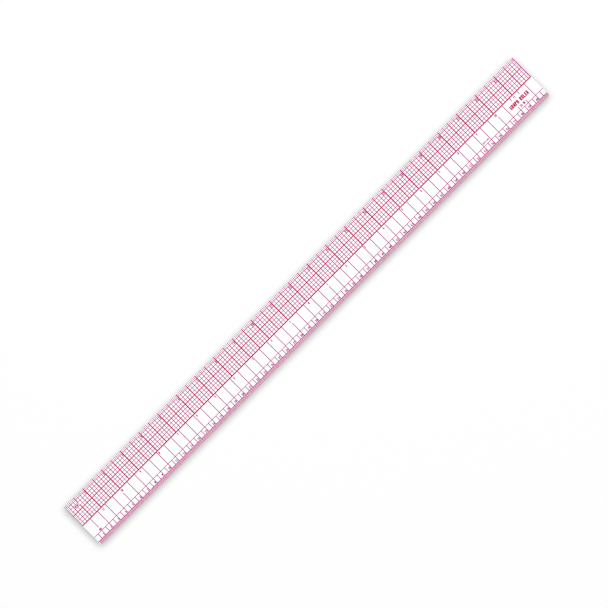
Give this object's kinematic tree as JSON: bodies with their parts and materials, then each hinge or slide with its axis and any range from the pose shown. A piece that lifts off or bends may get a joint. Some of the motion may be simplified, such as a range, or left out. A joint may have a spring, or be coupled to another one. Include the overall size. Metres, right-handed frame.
{
  "type": "graph ruler",
  "caption": "Flat clear laminated plastic graph ruler with an inch grid along one edge and a metric scale along the other, printed in red between its sheets.",
  "frame": {"origin": "middle of the ruler's underside, on the surface that it lies on", "axes": "+X along the scales towards the 24 in end, +Y across the ruler towards the inch edge, +Z out of the printed face"},
  "size_m": [0.6096, 0.0508, 0.001],
  "materials": {
    "clear_sheet": "clear polished vinyl",
    "wine_ink": "screen-printed ink sealed under plastic",
    "crimson_ink": "screen-printed ink sealed under plastic"
  },
  "bodies": {
    "root": {"base_sheet": "clear_sheet", "overlay_sheet": "clear_sheet", "sixteenth_inch_ticks": "wine_ink", "eighth_inch_cross_lines": "wine_ink", "quarter_inch_cross_lines": "wine_ink", "zero_end_line": "wine_ink", "far_end_line": "wine_ink", "eighth_inch_long_lines": "wine_ink", "quarter_inch_long_lines": "wine_ink", "zero_end_ladder": "wine_ink", "far_end_ladder": "wine_ink", "centimetre_lines": "wine_ink", "half_centimetre_lines": "wine_ink", "metric_long_line": "wine_ink", "millimetre_scale": "wine_ink", "inch_numerals": "wine_ink", "centring_numerals": "wine_ink", "centimetre_numerals": "wine_ink", "inch_unit_label": "wine_ink", "millimetre_unit_label": "wine_ink", "length_legend": "wine_ink", "metric_legend": "wine_ink", "half_inch_cross_lines": "crimson_ink", "inch_cross_lines": "crimson_ink", "half_inch_long_line": "crimson_ink", "one_inch_long_line": "crimson_ink", "ruler_legend": "crimson_ink"}
  },
  "joints": []
}
